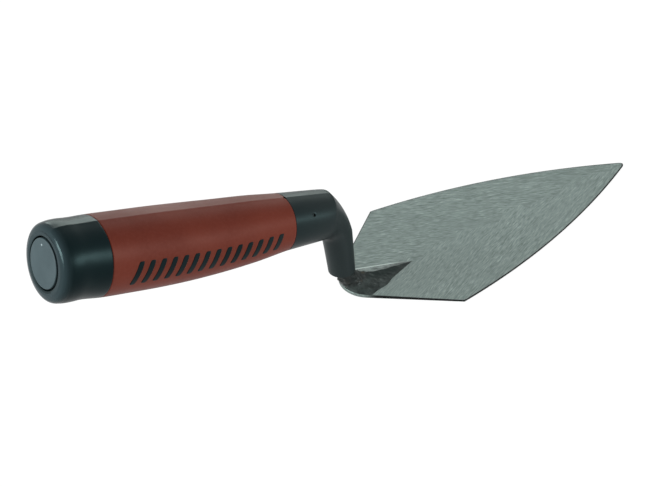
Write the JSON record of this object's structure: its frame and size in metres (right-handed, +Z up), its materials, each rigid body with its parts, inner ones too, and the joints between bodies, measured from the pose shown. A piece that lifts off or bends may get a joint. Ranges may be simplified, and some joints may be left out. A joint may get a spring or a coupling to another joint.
{
  "type": "brick trowel",
  "caption": "Small pointing-pattern brick trowel: forged steel blade with gooseneck shank and a moulded handle with soft grip and butt plug, for laying and pointing mortar.",
  "frame": {"origin": "on the blade's flat underside, at the centre of the rounded heel", "axes": "+X from the handle to the blade's point, +Y to the blade's left corner, +Z up from the underside; the trowel is symmetric about y = 0"},
  "size_m": [0.2475, 0.0634, 0.0824],
  "materials": {
    "forged_steel": "ground carbon steel blade with fine wavy grinding lines; dark forge scale on the boss and shank",
    "black_plastic": "satin black hard plastic with a faint mould parting line",
    "red_soft_grip": "satin brick-red soft elastomer, finely mottled",
    "grey_plastic": "satin slate-grey hard plastic"
  },
  "bodies": {
    "root": {"blade_forging": "forged_steel", "handle_core": "black_plastic", "grip_skin": "red_soft_grip", "butt_plug": "grey_plastic"}
  },
  "joints": []
}
